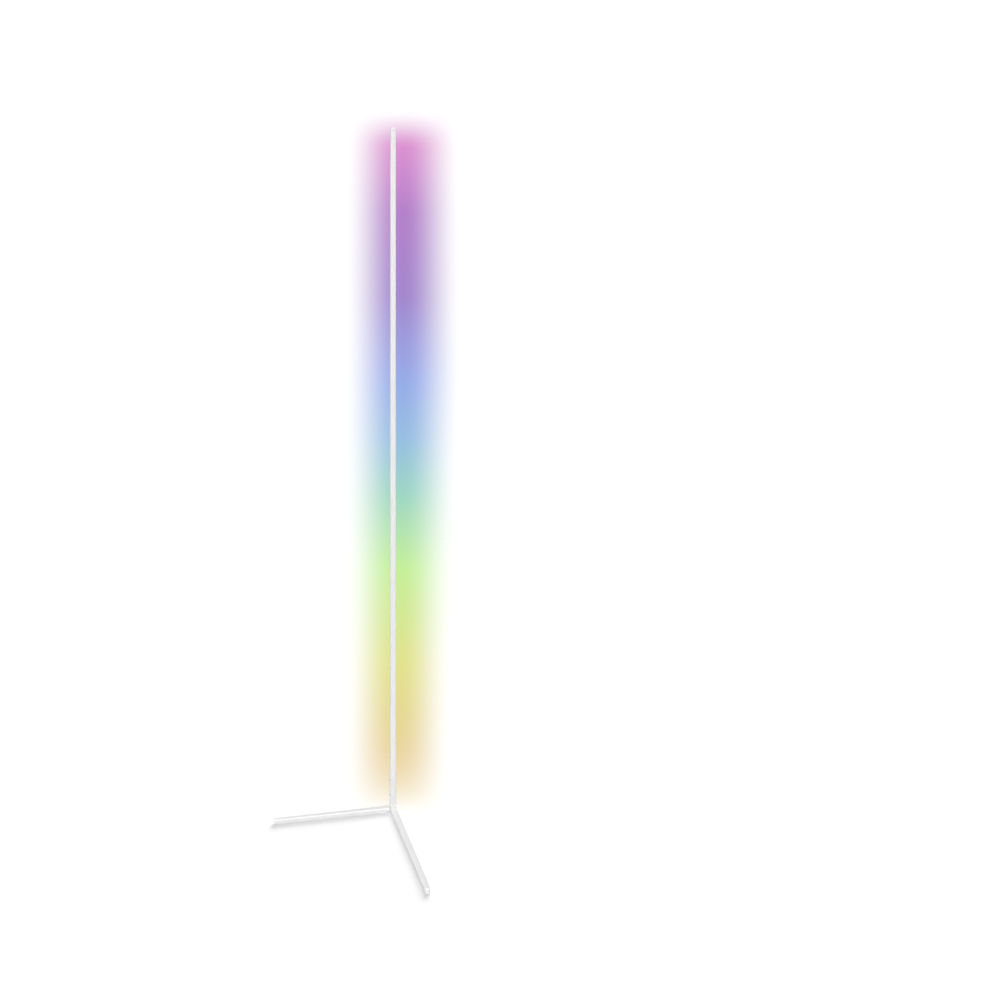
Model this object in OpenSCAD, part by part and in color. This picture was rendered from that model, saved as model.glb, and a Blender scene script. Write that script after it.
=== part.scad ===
// Corner floor lamp: a slim pole that throws its light into the corner of a room, on two
// legs at a right angle. The origin is on the floor under the pole's axis, +Z is up, the right
// leg runs along -Y, the left leg along -X, and the light faces the corner at +X +Y.

/* [Overall] */
// Height from the floor to the top of the pole
lamp_h = 2000; // [1400:10:2400]
// Reach of each leg from the pole's axis to its far end
leg_reach = 330; // [240:5:450]

/* [Pole] */
// Width of each of the pole's two outer faces
pole_w = 15; // [14:0.5:20]
// Wall of the pole
pole_wall = 1.3; // [1:0.1:1.6]
// Thickness of the web that the light strip is stuck to
web_t = 1; // [0.8:0.1:1.4]
// Width of the lips that hold the diffuser
lip_w = 1.6; // [1.3:0.1:1.9]
// Height of the lips over the pole's inner faces
lip_h = 0.9; // [0.6:0.1:1.2]
// Radius of the pole's front edge, between its two faces
pole_edge_r = 2; // [0.6:0.1:2.2]
// Radius of the pole's side edges, beside the diffuser
pole_side_r = 2.5; // [1:0.1:2.6]
// Thickness of the top cap's plate
cap_t = 2; // [1.5:0.5:4]
// Length of the top cap's plugs inside the pole
cap_plug_l = 8; // [5:1:15]

/* [Light] */
// Wall of the diffuser
diffuser_t = 1; // [0.8:0.1:1.4]
// Height of the diffuser's crown over the line between the pole's edges
diffuser_crown = 2.4; // [1.6:0.1:3]
// Width of the light strip
strip_w = 8; // [6:0.5:8.5]
// Thickness of the light strip
strip_t = 0.3; // [0.2:0.05:0.5]
// Thickness of the adhesive tape under the strip
tape_t = 0.15; // [0.1:0.05:0.3]
// Side of one light emitter
led_w = 5; // [3:0.5:5.5]
// Height of one light emitter
led_h = 1.6; // [0.8:0.1:1.6]
// Light emitters per metre
leds_per_m = 60; // [30:5:72]
// Light emitters driven by one chip
leds_per_chip = 6; // [3:1:12]

/* [Sleeve] */
// Height of the sleeve
sleeve_h = 90; // [84:1:120]
// Wall of the sleeve
sleeve_wall = 0.9; // [0.8:0.1:1.2]
// Distance from the pole's axis to the sleeve's back face, which faces the corner
sleeve_back = 5.6; // [5.4:0.1:6.4]
// Thickness of the sleeve's top wall
sleeve_top_t = 1.5; // [1:0.1:2]
// Gap between the sleeve and the leg under it, which shows as a dark seam
sleeve_seam = 0.7; // [0.2:0.1:1]
// Height of the lower side screw over the base
screw_low = 32; // [24:1:38]
// Height of the upper side screw over the base
screw_high = 72; // [60:1:76]
// Radius of the cord's bore in the grommet
cord_r = 2.5; // [2:0.1:2.7]

/* [Base] */
// Height of the legs' bars
leg_h = 11.5; // [10.5:0.5:18]
// Width of the legs at their far ends
leg_end_w = 12.5; // [9:0.5:16]
// Radius of the legs' upper edges
leg_edge_r = 2.5; // [0.5:0.1:2.6]
// Radius of the left leg's inner corner in front, which lets it fold
knuckle_r = 4.5; // [4.4:0.1:5.5]
// Thickness of the pads under the base
pad_t = 1.5; // [1:0.5:4]
// Thickness of the plate that joins the legs
plate_t = 3; // [2.6:0.1:4]
// Width of the plate that joins the legs
plate_w = 12; // [10:0.5:13]
// Height of the solid foot of the post
post_foot_h = 7; // [6:0.5:9]
// Height of the pole's lower end over the base
pole_seat = 49; // [46:1:54]
// Wall of the post in the pole
post_wall = 3; // [2.2:0.1:3.4]
// Wall of the post below the pole
post_foot_wall = 4.2; // [3.4:0.1:4.4]

/* [Hidden] */

fit_gap = 0.1;        // between pieces that slide together on assembly
thread_gap = 0.05;    // around a screw in its thread or a pin in its bore
hinge_gap = 0.3;      // between the two legs, over the whole fold
cut = 1;              // how far a cut runs past the face it opens
root2 = sqrt(2);

// Pole: two walls at a right angle, seen from above, with the outer edge at -X -Y.
// "u" is the distance from the pole's axis towards the corner of the room.
pole_half = pole_w / 2;
pole_in = -(pole_half - pole_wall);            // inner faces of the two walls
lip_in = pole_half - lip_w;                    // inner face of each lip
strip_margin = 0.4;                            // free web beside the strip
web_u = strip_w / 2 + strip_margin + root2 * pole_in;
strip_u = web_u + tape_t;
led_u = strip_u + strip_t;

// Diffuser: an arc that ends against the lips
diffuser_gap = 0.15;
diffuser_end_u = (lip_in - diffuser_gap + pole_in + fit_gap) / root2;
diffuser_end_v = (lip_in - diffuser_gap - pole_in - fit_gap) / root2;
diffuser_rise = diffuser_crown - diffuser_end_u;
diffuser_r = (pow(diffuser_end_v, 2) + pow(diffuser_rise, 2)) / (2 * diffuser_rise);
diffuser_c = (diffuser_crown - diffuser_r) / root2;    // its centre, in X and in Y
diffuser_in_x = diffuser_c
    + sqrt(pow(diffuser_r - diffuser_t, 2) - pow(pole_in + fit_gap - diffuser_c, 2));
detent_w = 0.6;
detent_h = 0.45;
detent_gap = 0.2;                              // between the diffuser and the detent

// Heights
leg_top = pad_t + leg_h;
plate_top = pad_t + plate_t;
sleeve_top = leg_top + sleeve_h;
pole_low = leg_top + pole_seat;
pole_top = lamp_h - cap_t;
web_low = sleeve_top - 3;                      // below it the web is milled away
post_top = web_low - 2;
diffuser_low = sleeve_top - 2.5;               // tucked into the sleeve's top
strip_low = sleeve_top + 2;
strip_top = pole_top - cap_plug_l - 1;

// Sleeve and legs
sleeve_half = pole_half + fit_gap + sleeve_wall;
sleeve_cavity = sleeve_half - sleeve_wall;
sleeve_cavity_back = sleeve_back - sleeve_wall;
leg_w = 2 * sleeve_half;                       // a leg is as wide as the sleeve on it
leg_half = leg_w / 2;
leg_end_r = leg_end_w / 2;
pivot_x = -(leg_half + hinge_gap + knuckle_r);
pivot_y = knuckle_r - leg_half;

// Post
spigot_w = 10;
spigot_h = 2;
post_in = -(pole_half - post_foot_wall);       // inner faces of the post below the pole

// Screws
m5_r = 2.5;
m5_head_r = 4.6;
head_sink = 0.1;                               // a head lies this far below the plate's face
m5_socket_r = 1.73;
m5_socket_depth = 1.4;
base_screw_l = 16;
m4_r = 2;
m4_head_r = 3.6;
m4_socket_r = 1.443;
m4_socket_depth = 1.1;
pivot_screw_l = 9.8;
m3_r = 1.5;
m3_hole_r = 1.6;
m3_head_r = 2.85;
m3_head_h = 1.3;
m3_dome_r = m3_head_r + 0.8;
m3_socket_r = 1.155;
m3_socket_depth = 0.8;
m3_l = 5;

// Pivot
washer_t = 0.45;
washer_r = 4;
washer_hole_r = 2.15;
washer_gap = 0.05;
knuckle_low = plate_top + washer_gap + washer_t;
tongue_gap = 0.3;
pivot_bore_top = leg_top - 1;
pivot_bore_r = m4_r + thread_gap;
tongue_r = knuckle_r - 0.3;                    // the tongue ends just inside the knuckle
plate_corner_r = 1;
pad_margin = 0.5;                              // the corner pad ends this far inside the plate
pad_rim = 1.5;                                 // and a leg's pad inside the leg's end

// Grommet in the sleeve's back face
grommet_flange_r = cord_r + 1.7;
grommet_neck_r = cord_r + 0.9;
grommet_out_t = 1.2;
grommet_in_t = 1;
grommet_gap = 0.8;                             // between the post's foot and the flange
grommet_z = leg_top + post_foot_h + grommet_flange_r + grommet_gap;

// Controller, on the inside of the post's left wall
board_w = 8.8;
board_t = 1;
board_pad_t = 0.6;
board_pad_w = 5;
board_pad_margin = 4;
board_x = post_in + board_pad_t;               // back face of the board
board_y = post_in + 0.3;                       // front edge of the board
board_low = grommet_z + grommet_flange_r + 1;
board_top = pole_low - 2;
board_front = board_x + board_t;
part_inset = 1;                                // from the board's edge to the parts on it
part_gap = 1.5;                                // between two parts along the board
terminal_size = [4.4, 4.8, 5.5];
wire_entry_r = 0.8;
wire_entry_l = 3;
connector_size = [3, 6.2, 5.5];
module_size = [2, 6.6,
    min(12, board_top - board_low - terminal_size[2] - connector_size[2] - 2 * part_gap)];

// Leads: three, from the connector to the pads at the strip's lower end
lead_r = 0.6;
lead_pitch = 1.8;
lead_spread = 2.5;
lead_x = board_front + connector_size[0] / 2;
lead_y = board_y + part_inset + connector_size[1] / 2;
lead_u = led_u + lead_r;
lead_ease_low = post_top - 10;
lead_ease_high = strip_low + 5;
lead_high = strip_low + 8;
lead_steps = 16;
lead_sides = 12;

// Lights along the strip
led_pitch = 1000 / leds_per_m;
led_first = strip_low + 14;                    // over the lead pads
led_count = floor((strip_top - led_w - led_first) / led_pitch) + 1;
led_well_r = led_w * 0.42;
led_well_depth = 0.35;
chip_l = 4.9;
chip_w = 3.9;
chip_h = 1.5;
chip_count = floor((led_count - 1) / leds_per_chip);

// Places (x, y) of a point at distance u towards the corner and v across it
function across(u, v) = [(u + v) / root2, (u - v) / root2];

// Turns a plan drawn with u along X to the lamp's own axes
module towards_corner() { rotate([0, 0, 45]) children(); }

// What is left of a square corner outside a rounding of radius r
module edge_nick(r) {
    difference() {
        translate([-cut, -cut]) square(r + cut);
        translate([r, r]) circle(r, $fn = 48);
    }
}

// Rounds the three square corners of a plan of the pole, or of what lies grow outside it
module round_edges(grow) {
    half = pole_half + grow;
    difference() {
        children();
        translate([-half, -half]) edge_nick(pole_edge_r + grow);
        translate([half, -half]) rotate(90) edge_nick(pole_side_r + grow);
        translate([-half, half]) rotate(-90) edge_nick(pole_side_r + grow);
    }
}

// Two walls at a right angle, with their outer edge at -half, -half
module angle_plan(half, wall, reach) {
    translate([-half, -half]) square([half + reach, wall]);
    translate([-half, -half]) square([wall, half + reach]);
}

// A square with its corner at +X +Y cut off at the distance back from the axis
module housing_plan(half, back) {
    slant = root2 * back - half;
    polygon([[-half, -half], [half, -half], [half, slant], [slant, half], [-half, half]]);
}

// The outline of pole and diffuser together, grown by gap
module pole_outline(gap) {
    half = pole_half + gap;
    lip_end = pole_in + lip_h + gap;
    round_edges(gap) {
        polygon([[-half, -half], [half, -half], [half, lip_end], [lip_end, half], [-half, half]]);
        intersection() {
            translate([diffuser_c, diffuser_c]) circle(diffuser_r + gap, $fn = 96);
            translate([-half, -half]) square(2 * half - lip_w);
        }
    }
}

// One wall's lip and detent, which hold one edge of the diffuser
module clip_plan() {
    translate([lip_in, pole_in - pole_wall / 2]) square([lip_w, lip_h + pole_wall / 2]);
    translate([diffuser_in_x - detent_gap - detent_w, pole_in - pole_wall / 2])
        square([detent_w, detent_h + pole_wall / 2]);
}

module pole_plan() {
    round_edges(0) {
        angle_plan(pole_half, pole_wall, pole_half);
        clip_plan();
        mirror([1, -1]) clip_plan();
        intersection() {
            rotate(45) translate([web_u - web_t, -pole_w]) square([web_t, 2 * pole_w]);
            translate([-pole_half, -pole_half]) square(pole_w);
        }
    }
}

module pole_profile() {
    color("white") difference() {
        translate([0, 0, pole_low]) linear_extrude(pole_top - pole_low) pole_plan();
        // the milled foot, which takes the post
        translate([pole_in, pole_in, pole_low - cut])
            cube([lip_in - pole_in, lip_in - pole_in, web_low - pole_low + cut]);
        side_hole(leg_top + screw_high, m3_hole_r);
    }
}

module top_cap() {
    chamber = -root2 * (web_t - web_u) - 2 * fit_gap;    // x + y at the web's underside
    near = pole_in + fit_gap;
    plug_low_u = led_u + 0.4;                            // the second plug, over the strip
    plug_high_u = 0.3;
    plug_w = strip_w - 1;
    color("white") {
        translate([0, 0, pole_top]) linear_extrude(cap_t) pole_outline(0);
        translate([0, 0, pole_top - cap_plug_l]) linear_extrude(cap_plug_l)
            polygon([[near, near], [chamber - near, near], [near, chamber - near]]);
        translate([0, 0, pole_top - cap_plug_l]) towards_corner()
            translate([plug_low_u, -plug_w / 2, 0])
                cube([plug_high_u - plug_low_u, plug_w, cap_plug_l]);
    }
}

module diffuser() {
    color("ghostwhite") translate([0, 0, diffuser_low]) linear_extrude(pole_top - diffuser_low)
        intersection() {
            difference() {
                translate([diffuser_c, diffuser_c]) circle(diffuser_r, $fn = 96);
                translate([diffuser_c, diffuser_c]) circle(diffuser_r - diffuser_t, $fn = 96);
            }
            translate([pole_in + fit_gap, pole_in + fit_gap]) square(pole_w);
        }
}

module strip_tape() {
    color("gold") towards_corner() translate([web_u, -strip_w / 2, strip_low])
        cube([tape_t, strip_w, strip_top - strip_low]);
}

module led_strip() {
    color("whitesmoke") towards_corner() translate([strip_u, -strip_w / 2, strip_low])
        cube([strip_t, strip_w, strip_top - strip_low]);
}

module led_packages() {
    color("lightyellow") towards_corner() for (i = [0 : led_count - 1])
        translate([led_u, 0, led_first + i * led_pitch]) difference() {
            translate([0, -led_w / 2, -led_w / 2]) cube([led_h, led_w, led_w]);
            translate([led_h - led_well_depth, 0, 0]) rotate([0, 90, 0])
                cylinder(h = led_well_depth + cut, r = led_well_r, $fn = 24);
        }
}

module pixel_chips() {
    color("dimgray") towards_corner() for (i = [1 : chip_count])
        translate([led_u, -chip_w / 2, led_first + (i * leds_per_chip - 0.5) * led_pitch
            - chip_l / 2]) cube([chip_h, chip_w, chip_l]);
}

// A round lead that leaves its foot upwards and eases over to its pad, in level rings
module eased_lead(foot, pad) {
    corners = [for (k = [0 : lead_steps]) for (j = [0 : lead_sides - 1])
        let (z = board_top + (lead_high - board_top) * k / lead_steps,
            t = max(0, min(1, (z - lead_ease_low) / (lead_ease_high - lead_ease_low))),
            place = foot + (pad - foot) * (t * t * (3 - 2 * t)),
            turn = 360 * j / lead_sides)
        [place[0] + lead_r * cos(turn), place[1] + lead_r * sin(turn), z]];
    last = lead_steps * lead_sides;
    skin = [for (k = [0 : lead_steps - 1]) for (j = [0 : lead_sides - 1])
        let (a = k * lead_sides + j, b = k * lead_sides + (j + 1) % lead_sides)
        each [[a, a + lead_sides, b], [b, a + lead_sides, b + lead_sides]]];
    polyhedron(corners, concat(skin,
        [[for (j = [0 : lead_sides - 1]) j]],
        [[for (j = [lead_sides - 1 : -1 : 0]) last + j]]));
}

module strip_leads() {
    color("tomato") for (i = [-1 : 1])
        eased_lead([lead_x, lead_y - i * lead_pitch], across(lead_u, i * lead_spread));
}

// A hole through the left-hand walls, for a side screw at the height z
module side_hole(z, r) {
    translate([-sleeve_half - cut, 0, z]) rotate([0, 90, 0])
        cylinder(h = sleeve_half + cut, r = r, $fn = 32);
}

module sleeve() {
    color("gainsboro") difference() {
        translate([0, 0, leg_top + sleeve_seam]) linear_extrude(sleeve_h - sleeve_seam)
            round_edges(fit_gap + sleeve_wall) housing_plan(sleeve_half, sleeve_back);
        translate([0, 0, leg_top - cut]) linear_extrude(sleeve_h - sleeve_top_t + cut)
            round_edges(fit_gap) housing_plan(sleeve_cavity, sleeve_cavity_back);
        translate([0, 0, leg_top]) linear_extrude(sleeve_h + cut) pole_outline(fit_gap);
        for (z = [screw_low, screw_high]) side_hole(leg_top + z, m3_hole_r);
        towards_corner() translate([sleeve_cavity_back - cut, 0, grommet_z]) rotate([0, 90, 0])
            cylinder(h = sleeve_wall + 2 * cut, r = grommet_neck_r + thread_gap, $fn = 48);
    }
}

module side_screws() {
    color("silver") for (z = [screw_low, screw_high])
        translate([-sleeve_half, 0, leg_top + z]) rotate([0, 90, 0]) difference() {
            union() {
                cylinder(h = m3_l, r = m3_r, $fn = 32);
                // domed head
                intersection() {
                    translate([0, 0, -m3_head_h]) cylinder(h = m3_head_h, r = m3_head_r, $fn = 48);
                    translate([0, 0, m3_dome_r - m3_head_h]) sphere(m3_dome_r, $fn = 64);
                }
            }
            translate([0, 0, -m3_head_h - cut])
                cylinder(h = m3_socket_depth + cut, r = m3_socket_r, $fn = 6);
        }
}

module cord_grommet() {
    color("dimgray") towards_corner() translate([0, 0, grommet_z]) rotate([0, 90, 0]) difference() {
        union() {
            translate([0, 0, sleeve_cavity_back - grommet_in_t])
                cylinder(h = grommet_in_t, r = grommet_flange_r, $fn = 48);
            translate([0, 0, sleeve_cavity_back - grommet_in_t])
                cylinder(h = grommet_in_t + sleeve_wall + grommet_out_t, r = grommet_neck_r, $fn = 48);
            translate([0, 0, sleeve_back])
                cylinder(h = grommet_out_t, r = grommet_flange_r, $fn = 48);
        }
        translate([0, 0, sleeve_cavity_back - grommet_in_t - cut])
            cylinder(h = grommet_in_t + sleeve_wall + grommet_out_t + 2 * cut, r = cord_r, $fn = 48);
    }
}

module board_pad() {
    color("black") translate([post_in, board_y + (board_w - board_pad_w) / 2,
        board_low + board_pad_margin])
        cube([board_pad_t, board_pad_w, board_top - board_low - 2 * board_pad_margin]);
}

module controller_board() {
    color("seagreen") translate([board_x, board_y, board_low])
        cube([board_t, board_w, board_top - board_low]);
}

module power_terminal() {
    color("limegreen") translate([board_front, board_y + part_inset / 2, board_low]) difference() {
        cube(terminal_size);
        // two wire entries from below
        for (side = [1, 3])
            translate([terminal_size[0] / 2, side * terminal_size[1] / 4, -cut])
                cylinder(h = wire_entry_l + cut, r = wire_entry_r, $fn = 24);
    }
}

module output_connector() {
    color("ivory") translate([board_front, board_y + part_inset, board_top - connector_size[2]])
        cube(connector_size);
}

module radio_module() {
    color("silver") translate([board_front, board_y + part_inset,
        board_low + terminal_size[2] + part_gap]) cube(module_size);
}

// The post's key in the right leg, grown by gap: a square with one corner cut off
module spigot_plan(gap) {
    intersection() {
        square(spigot_w + 2 * gap, center = true);
        housing_plan(pole_half, sleeve_cavity_back - fit_gap + gap);
    }
}

module base_post() {
    color("silver") difference() {
        union() {
            translate([0, 0, leg_top - spigot_h]) linear_extrude(spigot_h + cut) spigot_plan(0);
            translate([0, 0, leg_top]) linear_extrude(post_foot_h) round_edges(0)
                housing_plan(pole_half, sleeve_cavity_back - fit_gap);
            translate([0, 0, leg_top]) linear_extrude(pole_seat) round_edges(0)
                angle_plan(pole_half, post_foot_wall, pole_half);
            translate([0, 0, pole_low - cut]) linear_extrude(post_top - pole_low + cut)
                angle_plan(-pole_in - fit_gap, post_wall, lip_in - 2 * fit_gap);
        }
        translate([0, 0, leg_top - spigot_h - cut])
            cylinder(h = spigot_h + post_foot_h - 1 + cut, r = m5_r + thread_gap, $fn = 48);
        for (z = [screw_low, screw_high]) side_hole(leg_top + z, m3_r + thread_gap);
    }
}

// A countersunk screw that points up, with its head at the plate's lower face
module sunk_screw(length, shank_r, head_r, socket_r, socket_depth) {
    translate([0, 0, pad_t + head_sink]) difference() {
        union() {
            cylinder(h = head_r - shank_r, r1 = head_r, r2 = shank_r, $fn = 48);
            cylinder(h = length, r = shank_r, $fn = 48);
        }
        translate([0, 0, -cut])
            cylinder(h = socket_depth + cut, r = socket_r, $fn = 6);
    }
}

// The hole for such a screw through the plate
module sunk_hole(shank_r, head_r) {
    play = 2 * head_sink;
    translate([0, 0, pad_t - play])
        cylinder(h = head_r - shank_r + head_sink + play,
            r1 = head_r + head_sink + play + play / 2, r2 = shank_r + play / 2, $fn = 48);
    translate([0, 0, pad_t]) cylinder(h = plate_t + cut, r = shank_r + thread_gap, $fn = 48);
}

module base_screw() {
    color("gray") sunk_screw(base_screw_l, m5_r, m5_head_r, m5_socket_r, m5_socket_depth);
}

module pivot_screw() {
    color("gray") translate([pivot_x, pivot_y, 0])
        sunk_screw(pivot_screw_l, m4_r, m4_head_r, m4_socket_r, m4_socket_depth);
}

module pivot_washer() {
    color("ivory") translate([pivot_x, pivot_y, plate_top + washer_gap]) difference() {
        cylinder(h = washer_t, r = washer_r, $fn = 48);
        translate([0, 0, -cut]) cylinder(h = washer_t + 2 * cut, r = washer_hole_r, $fn = 48);
    }
}

// Where a line from a point touches the tongue's round end
function tongue_touch(point, side) =
    let (reach = point - [pivot_x, pivot_y],
        turn = atan2(reach[1], reach[0]) + side * acos(tongue_r / norm(reach)))
    [pivot_x + tongue_r * cos(turn), pivot_y + tongue_r * sin(turn)];

module pivot_plate() {
    half = plate_w / 2;
    color("white") difference() {
        translate([0, 0, pad_t]) linear_extrude(plate_t) difference() {
            union() {
                translate([-leg_half, -half]) square([leg_half + half, plate_w]);
                // the tongue under the left leg
                translate([pivot_x, pivot_y]) circle(tongue_r, $fn = 64);
                polygon([[-leg_half + hinge_gap, half], [-leg_half, half],
                    tongue_touch([-leg_half, half], 1), tongue_touch([-leg_half, -half], -1),
                    [-leg_half, -half], [-leg_half + hinge_gap, -half]]);
            }
            translate([half, half]) rotate(180) edge_nick(plate_corner_r);
            translate([half, -half]) rotate(90) edge_nick(plate_corner_r);
        }
        sunk_hole(m5_r, m5_head_r);
        translate([pivot_x, pivot_y, 0]) sunk_hole(m4_r, m4_head_r);
    }
}

// An upright round bar with a rounded upper edge, one corner of a leg's outline
module leg_corner(x, y, r) {
    translate([x, y, pad_t]) rotate_extrude($fn = 48) intersection() {
        union() {
            square([r - leg_edge_r, leg_h]);
            square([r, leg_h - leg_edge_r]);
            translate([r - leg_edge_r, leg_h - leg_edge_r]) circle(leg_edge_r, $fn = 24);
        }
        square([r, leg_h]);
    }
}

// The right leg carries the pole on its square inner end and is straight along the wall at +X
module right_leg() {
    corner = leg_half - leg_edge_r;
    recess = plate_w / 2 + fit_gap;
    color("white") difference() {
        hull() {
            leg_corner(-corner, corner, leg_edge_r);
            leg_corner(corner, corner, leg_edge_r);
            leg_corner(-corner, -corner, leg_edge_r);
            leg_corner(leg_half - leg_end_r, leg_end_r - leg_reach, leg_end_r);
        }
        // recess for the plate, open towards the left leg
        translate([-leg_half - cut, -recess, pad_t - cut])
            cube([leg_half + cut + recess, 2 * recess, plate_t + cut]);
        cylinder(h = leg_top, r = m5_r + 2 * fit_gap, $fn = 48);
        translate([0, 0, leg_top - spigot_h]) linear_extrude(spigot_h + cut) spigot_plan(fit_gap);
    }
}

// The left leg turns about the pivot: its inner end is rounded about it in front and square
// behind, where it stops against the right leg, and it is straight along the wall at +Y
module left_leg() {
    corner = leg_half - leg_edge_r;
    color("white") difference() {
        hull() {
            leg_corner(pivot_x, pivot_y, knuckle_r);
            leg_corner(pivot_x + knuckle_r - leg_edge_r, corner, leg_edge_r);
            leg_corner(leg_end_r - leg_reach, leg_half - leg_end_r, leg_end_r);
        }
        // recess over the plate's tongue, clear of it over the whole fold
        translate([pivot_x - tongue_r - tongue_gap, -leg_half - cut, pad_t - cut])
            cube([tongue_r + tongue_gap + knuckle_r + cut, leg_w + 2 * cut,
                knuckle_low - pad_t + cut]);
        translate([pivot_x, pivot_y, knuckle_low - cut])
            cylinder(h = pivot_bore_top - knuckle_low + cut, r = pivot_bore_r, $fn = 48);
    }
}

module pad_disc() {
    cylinder(h = pad_t, r = leg_end_r - pad_rim, $fn = 48);
}

module corner_pad() {
    side = plate_w - 2 * pad_margin;
    color("dimgray") translate([-side / 2, -side / 2, 0]) cube([side, side, pad_t]);
}

module right_leg_pad() {
    color("dimgray") translate([leg_half - leg_end_r, leg_end_r - leg_reach, 0]) pad_disc();
}

module left_leg_pad() {
    color("dimgray") translate([leg_end_r - leg_reach, leg_half - leg_end_r, 0]) pad_disc();
}

pole_profile();
top_cap();
diffuser();
led_strip();
strip_tape();
led_packages();
pixel_chips();
strip_leads();
sleeve();
side_screws();
cord_grommet();
controller_board();
board_pad();
power_terminal();
output_connector();
radio_module();
base_post();
base_screw();
right_leg();
left_leg();
pivot_plate();
pivot_screw();
pivot_washer();
corner_pad();
right_leg_pad();
left_leg_pad();
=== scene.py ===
import math

import bpy
from mathutils import Matrix, Vector


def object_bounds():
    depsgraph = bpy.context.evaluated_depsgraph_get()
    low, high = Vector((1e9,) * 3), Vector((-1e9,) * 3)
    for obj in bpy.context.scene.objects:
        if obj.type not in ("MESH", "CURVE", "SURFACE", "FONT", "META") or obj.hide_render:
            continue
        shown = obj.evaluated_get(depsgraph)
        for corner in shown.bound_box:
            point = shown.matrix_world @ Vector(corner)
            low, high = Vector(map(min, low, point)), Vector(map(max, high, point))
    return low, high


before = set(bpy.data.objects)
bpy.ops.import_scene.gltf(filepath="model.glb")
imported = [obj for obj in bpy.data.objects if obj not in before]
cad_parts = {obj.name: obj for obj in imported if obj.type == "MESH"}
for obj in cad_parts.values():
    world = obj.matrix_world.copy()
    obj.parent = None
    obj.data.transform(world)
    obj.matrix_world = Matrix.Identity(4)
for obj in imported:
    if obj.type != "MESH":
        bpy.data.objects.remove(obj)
cad_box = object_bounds()


# ---- The two legs ----
# Solid steel bars 17 mm wide at the pole and 12.5 mm at their rounded far ends, milled below
# for the plate that joins them, then coated with white polyester powder and baked.

def linear(code):
    """A colour written as sRGB hex, as Blender's linear red, green, blue and alpha."""
    shares = [int(code[i:i + 2], 16) / 255 for i in (0, 2, 4)]
    return [s / 12.92 if s <= 0.04045 else ((s + 0.055) / 1.055) ** 2.4 for s in shares] + [1]


def add(tree, kind, settings=None, links=None):
    """Adds a shader node. A lower-case setting is a property, any other key is a socket."""
    node = tree.nodes.new("ShaderNode" + kind)
    for key, value in (settings or {}).items():
        if key == "stops":
            stops = node.color_ramp.elements
            while len(stops) < len(value):
                stops.new(1)
            for stop, (place, code) in zip(stops, value):
                stop.position, stop.color = place, linear(code)
        elif isinstance(key, str) and key.islower():
            setattr(node, key, value)
        else:
            node.inputs[key].default_value = value
    for key, output in (links or {}).items():
        tree.links.new(output, node.inputs[key])
    return node


def blank(name):
    """A new material with an empty node tree."""
    made = bpy.data.materials.new(name)
    made.use_nodes = True
    made.node_tree.nodes.clear()
    return made


def dress(material, *names):
    """Gives CAD pieces a material."""
    for name in names:
        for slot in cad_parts[name].material_slots:
            slot.material = material


# Matt polyester powder: the eye gets an even white with hardly a sheen, a skin with the slow
# ripple that painters call orange peel, 1.8 mm from wave to wave, a tone that drifts a little
# over 70 mm, and faint specks of 0.6 mm.
powder_coat = blank("white polyester powder coat")
tree = powder_coat.node_tree
place = add(tree, "TexCoord").outputs["Object"]
cloud = add(tree, "TexNoise", {"Scale": 1 / 0.07, "Detail": 3, "Roughness": 0.55},
            {"Vector": place})
speck = add(tree, "TexNoise", {"Scale": 1 / 0.0006, "Detail": 1}, {"Vector": place})
tone = add(tree, "ValToRGB", {"stops": [(0.3, "F2F2F2"), (0.7, "F7F7F7")]},
           {"Fac": cloud.outputs[0]})
fleck = add(tree, "ValToRGB", {"stops": [(0.25, "EDEDED"), (0.45, "FFFFFF")]},
            {"Fac": speck.outputs[0]})
white = add(tree, "Mix", {"data_type": "RGBA", "blend_type": "MULTIPLY", 0: 0.5},
            {6: tone.outputs[0], 7: fleck.outputs[0]})
peel = add(tree, "TexNoise", {"Scale": 1 / 0.0018, "Detail": 1.5, "Roughness": 0.4},
           {"Vector": place})
sheen = add(tree, "MapRange", {"From Min": 0.3, "From Max": 0.7, "To Min": 0.76, "To Max": 0.84},
            {"Value": cloud.outputs[0]})
ripple = add(tree, "Bump", {"Strength": 0.6, "Distance": 0.00003}, {"Height": peel.outputs[0]})
shader = add(tree, "BsdfPrincipled", {"IOR": 1.5},
             {"Base Color": white.outputs[2], "Roughness": sheen.outputs[0],
              "Normal": ripple.outputs[0]})
add(tree, "OutputMaterial", links={"Surface": shader.outputs[0]})
dress(powder_coat, "right_leg", "left_leg")


# ---- The plate under the corner, the post and the screws ----
# A 3 mm steel plate, coated like the legs, lies in their recesses. One countersunk screw clamps
# it and the right leg to the steel post that carries the pole; the left leg turns on the other,
# over a thin washer of natural nylon.

dress(powder_coat, "pivot_plate")

# Blue-passivated zinc plate: a cool grey with a faint yellow-blue cast that drifts over some
# 6 mm, and the fine lay of the rolled sheet below it, in streaks 25 mm long and 0.25 mm wide.
zinc_plate = blank("zinc-plated rolled steel")
tree = zinc_plate.node_tree
place = add(tree, "TexCoord").outputs["Object"]
cast = add(tree, "TexNoise", {"Scale": 1 / 0.006, "Detail": 4, "Roughness": 0.6},
           {"Vector": place})
tone = add(tree, "ValToRGB", {"stops": [(0.35, "AEB4BC"), (0.5, "BDBFC0"), (0.65, "C4C1B6")]},
           {"Fac": cast.outputs[0]})
along = add(tree, "Mapping", {"Scale": (1 / 0.025, 1 / 0.00025, 1 / 0.00025)},
            {"Vector": place})
lay = add(tree, "TexNoise", {"Scale": 1, "Detail": 2}, {"Vector": along.outputs[0]})
dull = add(tree, "MapRange", {"From Min": 0.3, "From Max": 0.7, "To Min": 0.28, "To Max": 0.46},
           {"Value": lay.outputs[0]})
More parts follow.
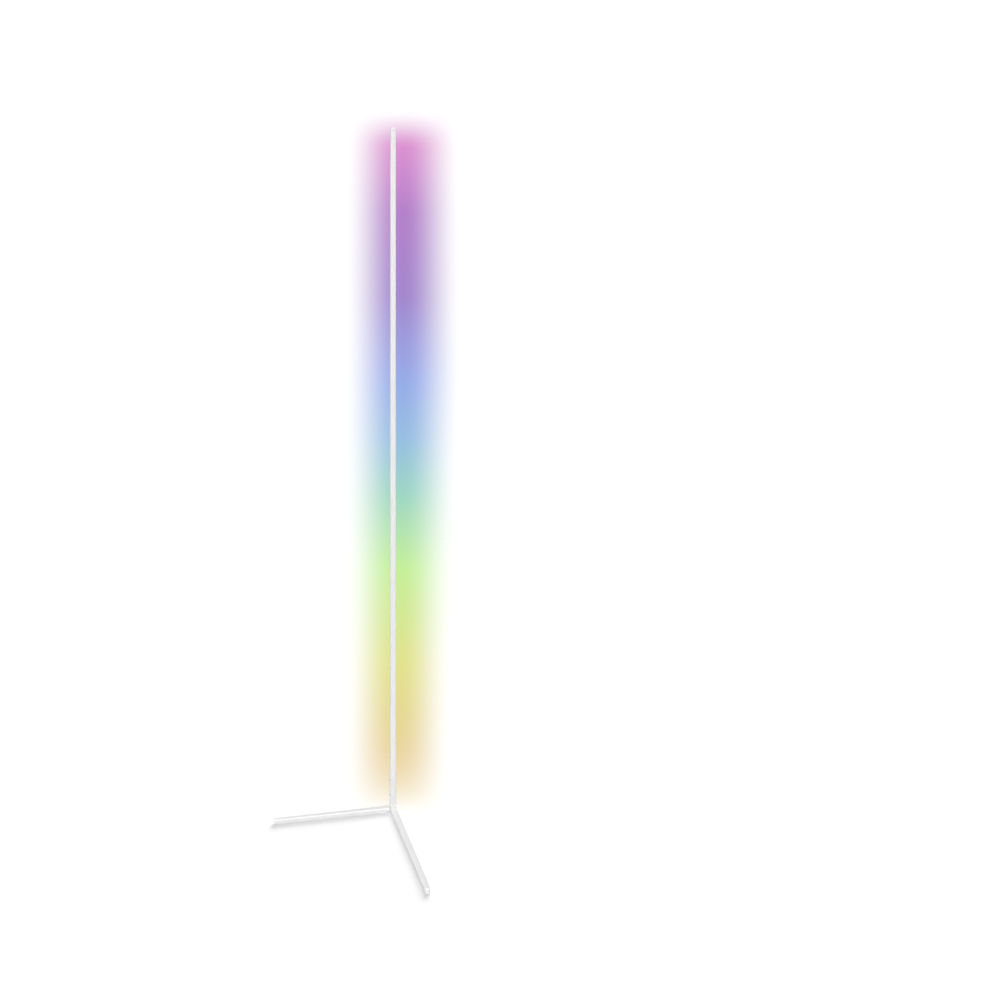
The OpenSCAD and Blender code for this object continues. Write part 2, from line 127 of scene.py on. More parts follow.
scratch = add(tree, "Bump", {"Strength": 0.4, "Distance": 0.00001}, {"Height": lay.outputs[0]})
shader = add(tree, "BsdfPrincipled", {"Metallic": 1},
             {"Base Color": tone.outputs[0], "Roughness": dull.outputs[0],
              "Normal": scratch.outputs[0]})
add(tree, "OutputMaterial", links={"Surface": shader.outputs[0]})
dress(zinc_plate, "base_post")

# Cold-headed screws, barrel-plated: brighter than the plate, with small dull knocks 1 mm
# across from tumbling against each other.
screw_zinc = blank("barrel-plated screw steel")
tree = screw_zinc.node_tree
place = add(tree, "TexCoord").outputs["Object"]
knock = add(tree, "TexVoronoi", {"Scale": 1 / 0.001}, {"Vector": place})
tone = add(tree, "ValToRGB", {"stops": [(0.0, "A9ABAD"), (0.35, "C6C8CA")]},
           {"Fac": knock.outputs["Distance"]})
dull = add(tree, "MapRange", {"From Max": 0.5, "To Min": 0.42, "To Max": 0.24},
           {"Value": knock.outputs["Distance"]})
dent = add(tree, "Bump", {"Strength": 0.3, "Distance": 0.00003},
           {"Height": knock.outputs["Distance"]})
shader = add(tree, "BsdfPrincipled", {"Metallic": 1},
             {"Base Color": tone.outputs[0], "Roughness": dull.outputs[0],
              "Normal": dent.outputs[0]})
add(tree, "OutputMaterial", links={"Surface": shader.outputs[0]})
dress(screw_zinc, "pivot_screw", "base_screw")

# Natural nylon 6: milky and slightly waxy, with turning marks 0.3 mm apart round the washer,
# drawn at 0.6 mm so that they show. At a scale of 1 a wave texture repeats every 0.314 m.
wave_length = 0.314
nylon = blank("natural nylon")
tree = nylon.node_tree
place = add(tree, "TexCoord").outputs["Object"]
corners = [Vector(corner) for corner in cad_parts["pivot_washer"].bound_box]
pivot = sum(corners, Vector()) / len(corners)
centred = add(tree, "Mapping", {"Location": -pivot}, {"Vector": place})
turned = add(tree, "TexWave", {"wave_type": "RINGS", "rings_direction": "Z",
                               "Scale": wave_length / 0.0006, "Distortion": 0.3},
             {"Vector": centred.outputs[0]})
haze = add(tree, "TexNoise", {"Scale": 1 / 0.003, "Detail": 2}, {"Vector": place})
tone = add(tree, "ValToRGB", {"stops": [(0.3, "E2DFD0"), (0.7, "ECEADF")]},
           {"Fac": haze.outputs[0]})
groove = add(tree, "Bump", {"Strength": 0.3, "Distance": 0.00002},
             {"Height": turned.outputs[0]})
shader = add(tree, "BsdfPrincipled", {"IOR": 1.53, "Roughness": 0.48},
             {"Base Color": tone.outputs[0], "Normal": groove.outputs[0]})
add(tree, "OutputMaterial", links={"Surface": shader.outputs[0]})
dress(nylon, "pivot_washer")


# ---- The pads under the base ----
# Die-cut from 1.5 mm grey rubber sheet with an adhesive back, one under the corner and one
# under the far end of each leg.

# Matt non-slip rubber: a dark grey that swallows light, with the fine cloth print of the
# sheet it was cured on, 0.8 mm from thread to thread, and pale specks of chalk.
pad_rubber = blank("grey non-slip rubber")
tree = pad_rubber.node_tree
place = add(tree, "TexCoord").outputs["Object"]
thread = 0.0008
warp = add(tree, "TexWave", {"bands_direction": "X", "Scale": wave_length / thread},
           {"Vector": place})
weft = add(tree, "TexWave", {"bands_direction": "Y", "Scale": wave_length / thread},
           {"Vector": place})
print_height = add(tree, "Math", {"operation": "MULTIPLY"},
                   {0: warp.outputs[0], 1: weft.outputs[0]})
chalk = add(tree, "TexNoise", {"Scale": 1 / 0.0005, "Detail": 2}, {"Vector": place})
tone = add(tree, "ValToRGB", {"stops": [(0.4, "3B3B3D"), (0.62, "454547"), (0.75, "5C5C5E")]},
           {"Fac": chalk.outputs[0]})
tooth = add(tree, "Bump", {"Strength": 0.7, "Distance": 0.00008},
            {"Height": print_height.outputs[0]})
shader = add(tree, "BsdfPrincipled", {"IOR": 1.52, "Roughness": 0.85},
             {"Base Color": tone.outputs[0], "Normal": tooth.outputs[0]})
add(tree, "OutputMaterial", links={"Surface": shader.outputs[0]})
dress(pad_rubber, "corner_pad", "right_leg_pad", "left_leg_pad")


# ---- The pole ----
# One extruded aluminium angle, 15 mm on each of its two outer faces, with lips that hold the
# diffuser and a web for the light strip. It is coated in the same bath of powder as the legs.

dress(powder_coat, "pole_profile")


# ---- The light strip ----
# A flexible circuit 8 mm wide, stuck to the pole's web with transfer tape. Every 16.7 mm it
# carries a moulded emitter, and every sixth gap a driver chip, so that the colour can change
# along the pole.

led_pitch = 1 / 60
led_first = 0.119
strip_turn = (0, 0, math.radians(45))

# White solder mask over rolled copper: glossy, slightly rubbery, with the two copper tracks
# showing as a faint warm relief along the edges, and bare copper pads at each 100 mm cut line.
cut_length = 6 * led_pitch
track_place = 0.0031
track_half_width = 0.0005
pad_pitch = 0.0025
pad_half_width = 0.0008
pad_half_length = 0.0022
solder_mask = blank("white flexible circuit")
tree = solder_mask.node_tree
place = add(tree, "TexCoord").outputs["Object"]
across = add(tree, "Mapping", {"vector_type": "TEXTURE", "Rotation": strip_turn},
             {"Vector": place})
split = add(tree, "SeparateXYZ", links={"Vector": across.outputs[0]})
side = add(tree, "Math", {"operation": "ABSOLUTE"}, {0: split.outputs["Y"]})
track = add(tree, "Math", {"operation": "COMPARE", 1: track_place, 2: track_half_width},
            {0: side.outputs[0]})
from_cut = add(tree, "Math", {"operation": "PINGPONG", 1: cut_length / 2},
               {0: split.outputs["Z"]})
pad_zone = add(tree, "Math", {"operation": "LESS_THAN", 1: pad_half_length},
               {0: from_cut.outputs[0]})
pad_row = add(tree, "Math", {"operation": "PINGPONG", 1: pad_pitch / 2},
              {0: split.outputs["Y"]})
pad_spot = add(tree, "Math", {"operation": "LESS_THAN", 1: pad_half_width},
               {0: pad_row.outputs[0]})
pad = add(tree, "Math", {"operation": "MULTIPLY"},
          {0: pad_zone.outputs[0], 1: pad_spot.outputs[0]})
haze = add(tree, "TexNoise", {"Scale": 1 / 0.004, "Detail": 3}, {"Vector": place})
tone = add(tree, "ValToRGB", {"stops": [(0.3, "EFEEE9"), (0.7, "F6F5F1")]},
           {"Fac": haze.outputs[0]})
warm = add(tree, "Mix", {"data_type": "RGBA", 7: linear("E9E2D2")},
           {0: track.outputs[0], 6: tone.outputs[0]})
bare = add(tree, "Mix", {"data_type": "RGBA", 7: linear("C9A27E")},
           {0: pad.outputs[0], 6: warm.outputs[2]})
relief = add(tree, "Bump", {"Strength": 0.8, "Distance": 0.00004},
             {"Height": track.outputs[0]})
shader = add(tree, "BsdfPrincipled", {"IOR": 1.55, "Roughness": 0.28},
             {"Base Color": bare.outputs[2], "Metallic": pad.outputs[0],
              "Normal": relief.outputs[0]})
add(tree, "OutputMaterial", links={"Surface": shader.outputs[0]})
dress(solder_mask, "led_strip")

# Acrylic transfer tape: a honey-coloured sticky film with trapped air, in bubbles 1.5 mm apart.
tape_film = blank("acrylic transfer tape")
tree = tape_film.node_tree
place = add(tree, "TexCoord").outputs["Object"]
air = add(tree, "TexVoronoi", {"Scale": 1 / 0.0015}, {"Vector": place})
tone = add(tree, "ValToRGB", {"stops": [(0.1, "E9D49A"), (0.3, "D2B35A"), (0.8, "BF9E48")]},
           {"Fac": air.outputs["Distance"]})
dull = add(tree, "MapRange", {"From Max": 0.6, "To Min": 0.35, "To Max": 0.55},
           {"Value": air.outputs["Distance"]})
shader = add(tree, "BsdfPrincipled", {"IOR": 1.47},
             {"Base Color": tone.outputs[0], "Roughness": dull.outputs[0]})
add(tree, "OutputMaterial", links={"Surface": shader.outputs[0]})
dress(tape_film, "strip_tape")

# The colours that the strip is set to, by height over the floor in metres.
pole_height = cad_box[1][2]
rainbow = [(height / pole_height, code) for height, code in [
    (0.15, "E2C46C"), (0.40, "DCDC68"), (0.68, "B8EC80"), (0.90, "86CEB8"), (1.06, "7CB2DC"),
    (1.24, "7C98E4"), (1.50, "8E64C4"), (1.76, "A458C0"), (1.97, "D474C8")]]

# A white moulded housing with a well of clear silicone over the dies: the well, 4.2 mm across,
# glows in the colour of its height, and the housing's rim stays white.
well_r = 0.0021
well_blur = 0.0003
emitter = blank("moulded light emitter")
emitter.cycles.emission_sampling = "NONE"
tree = emitter.node_tree
place = add(tree, "TexCoord").outputs["Object"]
across = add(tree, "Mapping", {"vector_type": "TEXTURE", "Rotation": strip_turn},
             {"Vector": place})
split = add(tree, "SeparateXYZ", links={"Vector": across.outputs[0]})
from_first = add(tree, "Math", {"operation": "SUBTRACT", 1: led_first}, {0: split.outputs["Z"]})
up = add(tree, "Math", {"operation": "PINGPONG", 1: led_pitch / 2}, {0: from_first.outputs[0]})
plan = add(tree, "CombineXYZ", links={"X": split.outputs["Y"], "Y": up.outputs[0]})
radius = add(tree, "VectorMath", {"operation": "LENGTH"}, {0: plan.outputs[0]})
well = add(tree, "MapRange", {"From Min": well_r, "From Max": well_r - well_blur},
           {"Value": radius.outputs["Value"]})
height = add(tree, "MapRange", {"From Max": pole_height}, {"Value": split.outputs["Z"]})
colour = add(tree, "ValToRGB", {"stops": rainbow}, {"Fac": height.outputs[0]})
mould = add(tree, "TexNoise", {"Scale": 1 / 0.0008, "Detail": 2}, {"Vector": place})
housing = add(tree, "ValToRGB", {"stops": [(0.3, "EDEBE2"), (0.7, "F5F3EC")]},
              {"Fac": mould.outputs[0]})
lens = add(tree, "Mix", {"data_type": "RGBA", 7: linear("E8DFA8")},
           {0: well.outputs[0], 6: housing.outputs[0]})
shader = add(tree, "BsdfPrincipled", {"IOR": 1.5, "Roughness": 0.3},
             {"Base Color": lens.outputs[2], "Emission Color": colour.outputs[0],
              "Emission Strength": well.outputs[0]})
add(tree, "OutputMaterial", links={"Surface": shader.outputs[0]})
dress(emitter, "led_packages")

# Black epoxy, moulded in a spark-eroded tool: charcoal, matt, with grain 0.1 mm across that
# is drawn at 0.3 mm.
chip_epoxy = blank("black moulded epoxy")
tree = chip_epoxy.node_tree
place = add(tree, "TexCoord").outputs["Object"]
grain = add(tree, "TexNoise", {"Scale": 1 / 0.0003, "Detail": 2}, {"Vector": place})
tone = add(tree, "ValToRGB", {"stops": [(0.35, "232326"), (0.65, "2E2E31")]},
           {"Fac": grain.outputs[0]})
pit = add(tree, "Bump", {"Strength": 0.5, "Distance": 0.00002}, {"Height": grain.outputs[0]})
shader = add(tree, "BsdfPrincipled", {"IOR": 1.55, "Roughness": 0.62},
             {"Base Color": tone.outputs[0], "Normal": pit.outputs[0]})
add(tree, "OutputMaterial", links={"Surface": shader.outputs[0]})
dress(chip_epoxy, "pixel_chips")

# Red PVC insulation over stranded copper: glossy, with the strands' twist showing through
# the jacket as a slow spiral, 2.5 mm to the turn.
lead_jacket = blank("red lead insulation")
tree = lead_jacket.node_tree
place = add(tree, "TexCoord").outputs["Object"]
twist = add(tree, "TexWave", {"bands_direction": "DIAGONAL", "Scale": wave_length / 0.0025,
                              "Distortion": 0.5}, {"Vector": place})
haze = add(tree, "TexNoise", {"Scale": 1 / 0.005, "Detail": 2}, {"Vector": place})
tone = add(tree, "ValToRGB", {"stops": [(0.3, "B3231C"), (0.7, "C42E26")]},
           {"Fac": haze.outputs[0]})
spiral = add(tree, "Bump", {"Strength": 0.4, "Distance": 0.00004},
             {"Height": twist.outputs[0]})
shader = add(tree, "BsdfPrincipled", {"IOR": 1.53, "Roughness": 0.34},
             {"Base Color": tone.outputs[0], "Normal": spiral.outputs[0]})
add(tree, "OutputMaterial", links={"Surface": shader.outputs[0]})
dress(lead_jacket, "strip_leads")


# ---- The controller in the foot of the pole ----
# A narrow circuit board on a foam pad inside the post's angle, with a terminal for the cord's
# cores, a plug block for the strip's leads and a shielded radio module.

# Glass-fibre board under green solder mask: the mask is glossy, the glass cloth below shows
# as a weave of 0.5 mm, drawn at 0.8 mm, and copper tracks lie as paler green bands.
circuit_board = blank("glass-fibre board with green mask")
tree = circuit_board.node_tree
place = add(tree, "TexCoord").outputs["Object"]
upright = add(tree, "Mapping", {"Rotation": (0, math.radians(90), 0)}, {"Vector": place})
cloth = add(tree, "TexChecker", {"Scale": 1 / 0.0008}, {"Vector": upright.outputs[0]})
tracks = add(tree, "TexBrick", {"Color1": linear("1F6B3A"), "Color2": linear("1B5F33"),
                                "Mortar": linear("2E8A50"), "Scale": 1 / 0.012,
                                "Mortar Size": 0.03, "Brick Width": 0.5, "Row Height": 0.16},
             {"Vector": upright.outputs[0]})
weave = add(tree, "Mix", {"data_type": "RGBA", "blend_type": "SOFT_LIGHT", 0: 0.15},
            {6: tracks.outputs["Color"], 7: cloth.outputs["Color"]})
relief = add(tree, "Bump", {"Strength": 0.5, "Distance": 0.00003},
             {"Height": tracks.outputs["Fac"]})
shader = add(tree, "BsdfPrincipled", {"IOR": 1.55, "Roughness": 0.25},
             {"Base Color": weave.outputs[2], "Normal": relief.outputs[0]})
add(tree, "OutputMaterial", links={"Surface": shader.outputs[0]})
dress(circuit_board, "controller_board")

# Closed-cell foam: near black, soft and matt, made of cells 0.4 mm across.
foam = blank("black closed-cell foam")
tree = foam.node_tree
place = add(tree, "TexCoord").outputs["Object"]
cell = add(tree, "TexVoronoi", {"Scale": 1 / 0.0004}, {"Vector": place})
tone = add(tree, "ValToRGB", {"stops": [(0.1, "18181A"), (0.6, "2E2E30")]},
           {"Fac": cell.outputs["Distance"]})
pore = add(tree, "Bump", {"Strength": 0.8, "Distance": 0.0001},
           {"Height": cell.outputs["Distance"]})
shader = add(tree, "BsdfPrincipled", {"IOR": 1.5, "Roughness": 0.92},
             {"Base Color": tone.outputs[0], "Normal": pore.outputs[0]})
add(tree, "OutputMaterial", links={"Surface": shader.outputs[0]})
dress(foam, "board_pad")

# Glass-filled polyamide, moulded green: satin, with short pale glass fibres at its surface,
# drawn as streaks 1.1 mm long and 0.3 mm wide so that they show.
terminal_green = blank("green glass-filled polyamide")
tree = terminal_green.node_tree
place = add(tree, "TexCoord").outputs["Object"]
drawn = add(tree, "Mapping", {"Scale": (3300, 3300, 900)}, {"Vector": place})
fibre = add(tree, "TexNoise", {"Scale": 1, "Detail": 2}, {"Vector": drawn.outputs[0]})
tone = add(tree, "ValToRGB", {"stops": [(0.5, "2F8C46"), (0.68, "55A866")]},
           {"Fac": fibre.outputs[0]})
shader = add(tree, "BsdfPrincipled", {"IOR": 1.53, "Roughness": 0.42},
             {"Base Color": tone.outputs[0]})
add(tree, "OutputMaterial", links={"Surface": shader.outputs[0]})
dress(terminal_green, "power_terminal")

# Unfilled polyamide in its own ivory: smooth, waxy, yellowing a little in patches of 2 mm.
connector_ivory = blank("ivory polyamide")
tree = connector_ivory.node_tree
place = add(tree, "TexCoord").outputs["Object"]
patch = add(tree, "TexNoise", {"Scale": 1 / 0.002, "Detail": 2}, {"Vector": place})
tone = add(tree, "ValToRGB", {"stops": [(0.3, "E3DDC6"), (0.7, "EFEAD8")]},
           {"Fac": patch.outputs[0]})
shader = add(tree, "BsdfPrincipled", {"IOR": 1.53, "Roughness": 0.4},
             {"Base Color": tone.outputs[0]})
add(tree, "OutputMaterial", links={"Surface": shader.outputs[0]})
dress(connector_ivory, "output_connector")

# Tin-plated sheet, deep drawn into a can: soft bright grey with crystals 1.5 mm across that
# differ a little in tone.
tin_can = blank("tin-plated shield")
tree = tin_can.node_tree
place = add(tree, "TexCoord").outputs["Object"]
crystal = add(tree, "TexVoronoi", {"Scale": 1 / 0.0015}, {"Vector": place})
tone = add(tree, "ValToRGB", {"stops": [(0.0, "C2C3C4"), (1.0, "D6D6D4")]},
           {"Fac": crystal.outputs["Color"]})
dull = add(tree, "MapRange", {"To Min": 0.26, "To Max": 0.4},
           {"Value": crystal.outputs["Color"]})
shader = add(tree, "BsdfPrincipled", {"Metallic": 1},
             {"Base Color": tone.outputs[0], "Roughness": dull.outputs[0]})
add(tree, "OutputMaterial", links={"Surface": shader.outputs[0]})
dress(tin_can, "radio_module")


# ---- The sleeve, its screws and the cord's grommet ----
# A moulded ABS sleeve 90 mm high slides down over the foot of the pole and hides the post and
# the controller. Two domed screws hold it on the left, and a soft grommet lines the cord's hole.

# White ABS from a spark-eroded tool: a shade greyer than the powder coat, matt, with an even
# grain 0.2 mm across that is drawn at 0.5 mm.
sleeve_abs = blank("white moulded ABS, spark-eroded")
tree = sleeve_abs.node_tree
place = add(tree, "TexCoord").outputs["Object"]
flow = add(tree, "TexNoise", {"Scale": 1 / 0.03, "Detail": 3, "Distortion": 0.6},
           {"Vector": place})
tone = add(tree, "ValToRGB", {"stops": [(0.3, "F1F1F1"), (0.7, "F5F5F5")]},
           {"Fac": flow.outputs[0]})
grain = add(tree, "TexNoise", {"Scale": 1 / 0.0005, "Detail": 2}, {"Vector": place})
shade = add(tree, "ValToRGB", {"stops": [(0.3, "F4F4F4"), (0.6, "FFFFFF")]},
            {"Fac": grain.outputs[0]})
white = add(tree, "Mix", {"data_type": "RGBA", "blend_type": "MULTIPLY", 0: 0.6},
            {6: tone.outputs[0], 7: shade.outputs[0]})
pit = add(tree, "Bump", {"Strength": 0.5, "Distance": 0.00003}, {"Height": grain.outputs[0]})
shader = add(tree, "BsdfPrincipled", {"IOR": 1.54, "Roughness": 0.78},
             {"Base Color": white.outputs[2], "Normal": pit.outputs[0]})
add(tree, "OutputMaterial", links={"Surface": shader.outputs[0]})
dress(sleeve_abs, "sleeve")
dress(screw_zinc, "side_screws")

# Soft light-grey elastomer: matt, with a bloom that drifts over 4 mm.
grommet_rubber = blank("light grey elastomer")
tree = grommet_rubber.node_tree
place = add(tree, "TexCoord").outputs["Object"]
bloom = add(tree, "TexNoise", {"Scale": 1 / 0.004, "Detail": 3}, {"Vector": place})
tone = add(tree, "ValToRGB", {"stops": [(0.3, "D6D6D6"), (0.7, "E2E2E1")]},
           {"Fac": bloom.outputs[0]})
grain = add(tree, "TexNoise", {"Scale": 1 / 0.0005, "Detail": 1}, {"Vector": place})
pit = add(tree, "Bump", {"Strength": 0.4, "Distance": 0.00003}, {"Height": grain.outputs[0]})
shader = add(tree, "BsdfPrincipled", {"IOR": 1.5, "Roughness": 0.7},
             {"Base Color": tone.outputs[0], "Normal": pit.outputs[0]})
add(tree, "OutputMaterial", links={"Surface": shader.outputs[0]})
dress(grommet_rubber, "cord_grommet")


# ---- The diffuser ----
# Opal acrylic, extruded as a shallow arc and snapped between the pole's lips on the side that
# faces the corner. The emitters behind it light it evenly, each one just brighter at its heart.

# Lit opal acrylic: it glows in the strip's colours, brighter by a fifth over each emitter than
# between two, with fine die lines along its length, 0.4 mm apart, under a satin face.
glow_between = 2.0
glow_over = 2.4
opal = blank("opal extruded acrylic, lit")
tree = opal.node_tree
place = add(tree, "TexCoord").outputs["Object"]
split = add(tree, "SeparateXYZ", links={"Vector": place})
height = add(tree, "MapRange", {"From Max": pole_height}, {"Value": split.outputs["Z"]})
colour = add(tree, "ValToRGB", {"stops": rainbow}, {"Fac": height.outputs[0]})
deep = add(tree, "Gamma", {"Gamma": 1.8}, {"Color": colour.outputs[0]})
from_first = add(tree, "Math", {"operation": "SUBTRACT", 1: led_first}, {0: split.outputs["Z"]})
turn = add(tree, "Math", {"operation": "MULTIPLY", 1: 2 * math.pi / led_pitch},
           {0: from_first.outputs[0]})
beat = add(tree, "Math", {"operation": "COSINE"}, {0: turn.outputs[0]})
glow = add(tree, "MapRange", {"From Min": -1, "To Min": glow_between, "To Max": glow_over},
           {"Value": beat.outputs[0]})
drawn = add(tree, "Mapping", {"Scale": (1 / 0.0004, 1 / 0.0004, 12)}, {"Vector": place})
line = add(tree, "TexNoise", {"Scale": 1, "Detail": 2}, {"Vector": drawn.outputs[0]})
tone = add(tree, "ValToRGB", {"stops": [(0.3, "969799"), (0.7, "A2A3A4")]},
           {"Fac": line.outputs[0]})
die_line = add(tree, "Bump", {"Strength": 0.4, "Distance": 0.00002},
               {"Height": line.outputs[0]})
shader = add(tree, "BsdfPrincipled", {"IOR": 1.49, "Roughness": 0.35},
             {"Base Color": tone.outputs[0], "Normal": die_line.outputs[0],
              "Emission Color": deep.outputs[0], "Emission Strength": glow.outputs[0]})
add(tree, "OutputMaterial", links={"Surface": shader.outputs[0]})
dress(opal, "diffuser")


# ---- The top cap ----
# A 2 mm plate in the pole's own outline, moulded in one with the two plugs that hold it in
# the pole's end.

# The same white ABS, from a polished tool: smoother than the sleeve, with the faint waves
# of the melt's flow, 10 mm apart.
cap_abs = blank("white moulded ABS, satin")
tree = cap_abs.node_tree
place = add(tree, "TexCoord").outputs["Object"]
flow = add(tree, "TexNoise", {"Scale": 1 / 0.01, "Detail": 2, "Distortion": 1},
           {"Vector": place})
tone = add(tree, "ValToRGB", {"stops": [(0.3, "F2F2F2"), (0.7, "F6F6F6")]},
           {"Fac": flow.outputs[0]})
wave = add(tree, "Bump", {"Strength": 0.3, "Distance": 0.00005}, {"Height": flow.outputs[0]})
shader = add(tree, "BsdfPrincipled", {"IOR": 1.54, "Roughness": 0.42},
             {"Base Color": tone.outputs[0], "Normal": wave.outputs[0]})
add(tree, "OutputMaterial", links={"Surface": shader.outputs[0]})
dress(cap_abs, "top_cap")


# ---- The painted glow behind the pole ----
# A thin card stands just behind the pole, with a flap that lies forward on the floor. It is no
# # part of the lamp: its emission is painted light, a soft band in the strip's colours that
# stands
# # in for the light the lamp throws back onto wall and floor, and it is clear from behind and to
# # every light.

view_heading = math.radians(-11.51)
card_behind = 0.03
card_half = 0.2
card_top = pole_height + 0.12
flap_length = 0.1
flap_rise = 0.0003
head_full = pole_height - 0.04
head_clear = pole_height + 0.104
foot_fade = 0.085
foot_loss = 0.77
flap_share = 0.49
painted_glow_strength = 0.87
mesh = bpy.data.meshes.new("glow")
mesh.from_pydata([(side * card_half, depth, height) for depth, height in [
    (-flap_length, flap_rise), (0, flap_rise), (0, card_top)] for side in (-1, 1)],
    [], [(0, 1, 3, 2), (2, 3, 5, 4)])
card = bpy.data.objects.new("glow", mesh)
bpy.context.scene.collection.objects.link(card)
card.rotation_euler = (0, 0, view_heading)
card.location = (-card_behind * math.sin(view_heading), card_behind * math.cos(view_heading), 0)


def seen_ray(tree):
    """One for what the camera sees, also in metal and through glass, and nought for light."""
    path = add(tree, "LightPath")
    mirrored = add(tree, "Math", {"operation": "MAXIMUM"},
                   {0: path.outputs["Is Camera Ray"], 1: path.outputs["Is Glossy Ray"]})
    seen = add(tree, "Math", {"operation": "MAXIMUM"},
               {0: mirrored.outputs[0], 1: path.outputs["Is Transmission Ray"]})
    return seen.outputs[0]


# The card's material paints the glow: emission in the strip's colours, seen from the front only.
air = blank("painted coloured glow")
tree = air.node_tree
place = add(tree, "TexCoord").outputs["Object"]
split = add(tree, "SeparateXYZ", links={"Vector": place})
height = add(tree, "MapRange", {"From Max": pole_height}, {"Value": split.outputs["Z"]})
colour = add(tree, "ValToRGB", {"stops": rainbow}, {"Fac": height.outputs[0]})
# the band's middle and half width, in metres, which both grow upwards
middle = add(tree, "MapRange", {"From Min": 0.1, "From Max": 1.3, "To Min": 0.014,
                                "To Max": 0.032}, {"Value": split.outputs["Z"]})
reach = add(tree, "MapRange", {"From Min": 0.4, "From Max": 1.2, "To Min": 0.17,
                               "To Max": 0.19}, {"Value": split.outputs["Z"]})
aside = add(tree, "Math", {"operation": "SUBTRACT"},
            {0: split.outputs["X"], 1: middle.outputs[0]})
share = add(tree, "Math", {"operation": "DIVIDE"}, {0: aside.outputs[0], 1: reach.outputs[0]})
square = add(tree, "Math", {"operation": "MULTIPLY"},
             {0: share.outputs[0], 1: share.outputs[0]})
fall = add(tree, "Math", {"operation": "SUBTRACT", "use_clamp": True, 0: 1.0},
           {1: square.outputs[0]})
bell = add(tree, "Math", {"operation": "MULTIPLY"}, {0: fall.outputs[0], 1: fall.outputs[0]})
# it loses 0.77 of its strength at the floor, less by a factor e every 85 mm up, and more
# along the flap
along = add(tree, "Math", {"operation": "MULTIPLY_ADD", 1: flap_share},
            {0: split.outputs["Y"], 2: split.outputs["Z"]})
decay = add(tree, "Math", {"operation": "POWER", 0: math.exp(-1 / foot_fade)},
            {1: along.outputs[0]})
foot = add(tree, "Math", {"operation": "MULTIPLY_ADD", "use_clamp": True,
                          1: -foot_loss, 2: 1.0}, {0: decay.outputs[0]})
head = add(tree, "MapRange", {"interpolation_type": "SMOOTHSTEP", "From Min": head_clear,
                              "From Max": head_full}, {"Value": split.outputs["Z"]})
ends = add(tree, "Math", {"operation": "MULTIPLY"}, {0: foot.outputs[0], 1: head.outputs[0]})
band = add(tree, "Math", {"operation": "MULTIPLY"}, {0: bell.outputs[0], 1: ends.outputs[0]})
strength = add(tree, "Math", {"operation": "MULTIPLY", 1: painted_glow_strength}, {0: band.outputs[0]})
front = add(tree, "Math", {"operation": "SUBTRACT", 0: 1.0},
            {1: add(tree, "NewGeometry").outputs["Backfacing"]})
shown = add(tree, "Math", {"operation": "MULTIPLY"},
            {0: seen_ray(tree), 1: front.outputs[0]})
cover = add(tree, "Math", {"operation": "MULTIPLY"},
            {0: strength.outputs[0], 1: shown.outputs[0]})
light = add(tree, "Emission", {"Strength": 1}, {"Color": colour.outputs[0]})
clear = add(tree, "BsdfTransparent")
surface = add(tree, "MixShader", links={0: cover.outputs[0], 1: clear.outputs[0],
                                        2: light.outputs[0]})
add(tree, "OutputMaterial", links={"Surface": surface.outputs[0]})
air.cycles.emission_sampling = "NONE"
mesh.materials.append(air)


# ---- The floor and the studio light ----
# A plain white floor that keeps the lamp's shadow, in an even white room. A soft box behind to
# the right is flagged off the lamp and lights the floor alone. In front a wide dome and a soft
# box above it light the whole lamp, and a low soft box on the left fills the faces of its base.

# The floor's lift is what the camera sees on top of its lit paper, so that it is as white as
# the room is seen. The room's own light is faint.
floor_half = 30
floor_lift = 0.58
room_lighting = 0.12
room_seen = 1.04
mesh = bpy.data.meshes.new("floor")
mesh.from_pydata([(-floor_half, -floor_half, 0), (floor_half, -floor_half, 0),
                  (floor_half, floor_half, 0), (-floor_half, floor_half, 0)], [], [(0, 1, 2, 3)])
floor = bpy.data.objects.new("floor", mesh)
bpy.context.scene.collection.objects.link(floor)

paper = blank("white studio paper")
tree = paper.node_tree
lift = add(tree, "Math", {"operation": "MULTIPLY", 1: floor_lift}, {0: seen_ray(tree)})
matt = add(tree, "BsdfDiffuse", {"Color": linear("BEBEBE")})
light = add(tree, "Emission", {"Color": linear("FFFFFF")}, {"Strength": lift.outputs[0]})
surface = add(tree, "AddShader", links={0: matt.outputs[0], 1: light.outputs[0]})
add(tree, "OutputMaterial", links={"Surface": surface.outputs[0]})
mesh.materials.append(paper)

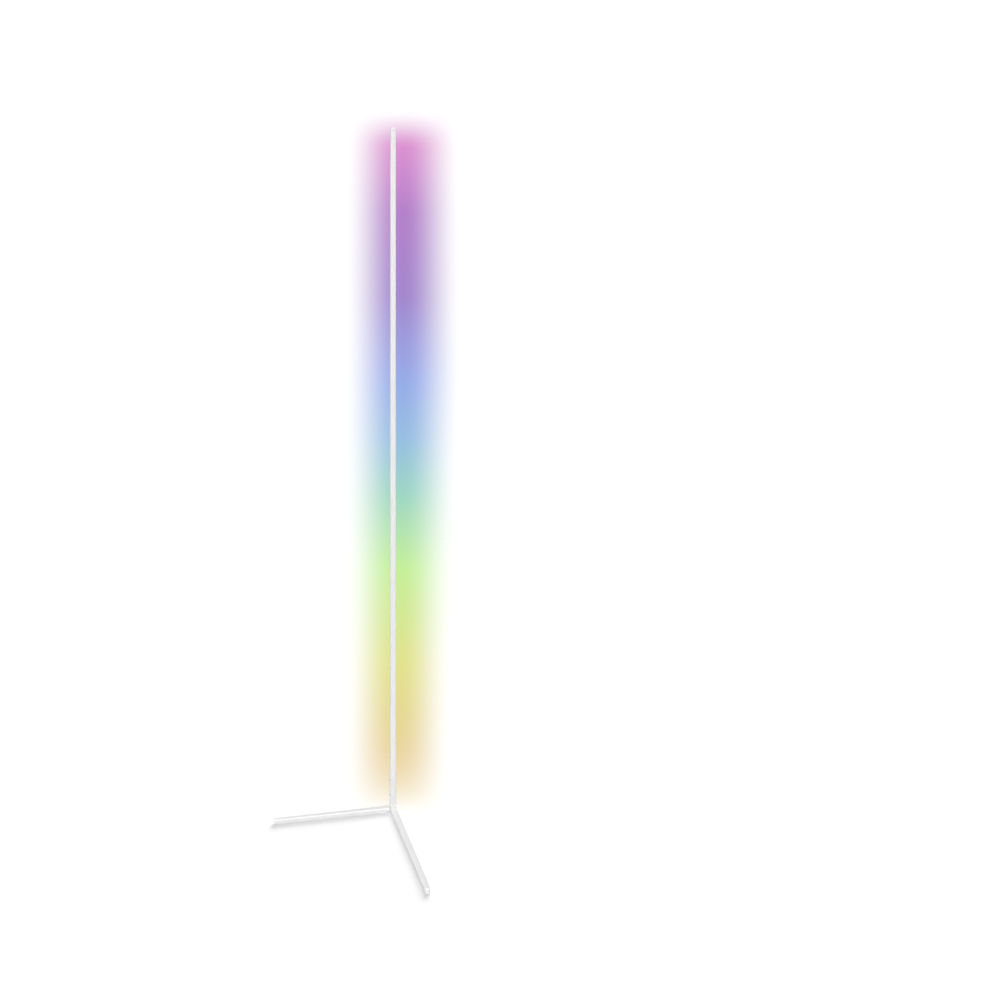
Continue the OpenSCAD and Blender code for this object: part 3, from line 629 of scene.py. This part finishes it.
room = bpy.data.worlds.new("white room")
room.use_nodes = True
tree = room.node_tree
tree.nodes.clear()
room_light = add(tree, "MapRange", {"To Min": room_lighting, "To Max": room_seen},
                 {"Value": seen_ray(tree)})
backdrop = add(tree, "Background", {"Color": linear("FFFFFF")},
               {"Strength": room_light.outputs[0]})
add(tree, "OutputWorld", links={"Surface": backdrop.outputs[0]})
bpy.context.scene.world = room

the_floor = bpy.data.collections.new("the floor")
the_floor.objects.link(floor)
the_base = bpy.data.collections.new("the base")
the_lamp = bpy.data.collections.new("the lamp")
for name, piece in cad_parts.items():
    the_lamp.objects.link(piece)
    if "leg" in name or "plate" in name:
        the_base.objects.link(piece)
lamp_middle = Vector((0, 0, pole_height / 2))
# each light's place, radiance, spread in degrees, what it lights and what shades it
for name, place, radiance, spread, lit, shading in [
        ("rear soft box", (1.15, 1.88, 1.84), 2.18, 58, the_floor, the_base),
        ("front dome", (-0.25, -0.90, 1.36), 0.80, 178, the_lamp, the_lamp),
        ("front soft box", (-0.42, -0.70, 1.58), 0.30, 60, the_lamp, the_lamp),
        ("low soft box", (-0.6, -0.75, 1.15), 0.15, 60, the_base, the_lamp)]:
    light = bpy.data.lights.new(name, "SUN")
    light.energy = radiance * math.pi
    light.angle = math.radians(spread)
    box = bpy.data.objects.new(name, light)
    bpy.context.scene.collection.objects.link(box)
    box.location = place
    box.rotation_euler = (lamp_middle - box.location).to_track_quat("-Z", "Y").to_euler()
    box.light_linking.receiver_collection = lit
    box.light_linking.blocker_collection = shading


# ---- The camera ----
# It stands 1.46 m in front of the pole and a little to its left, 0.8 m above the floor, with
# a wide lens, and looks slightly upwards.

camera_place = (-0.3312, -1.4178, 0.803)
camera_tilt = math.radians(92.95)
camera_roll = math.radians(0.10)
lens = bpy.data.cameras.new("camera")
lens.sensor_width = 36
lens.lens = 18.025
lens.shift_x = 0.1214
camera = bpy.data.objects.new("camera", lens)
bpy.context.scene.collection.objects.link(camera)
camera.matrix_world = (Matrix.Translation(camera_place)
                       @ Matrix.Rotation(view_heading, 4, "Z")
                       @ Matrix.Rotation(camera_tilt, 4, "X")
                       @ Matrix.Rotation(camera_roll, 4, "Z"))
bpy.context.scene.camera = camera
bpy.context.scene.view_settings.view_transform = "Standard"
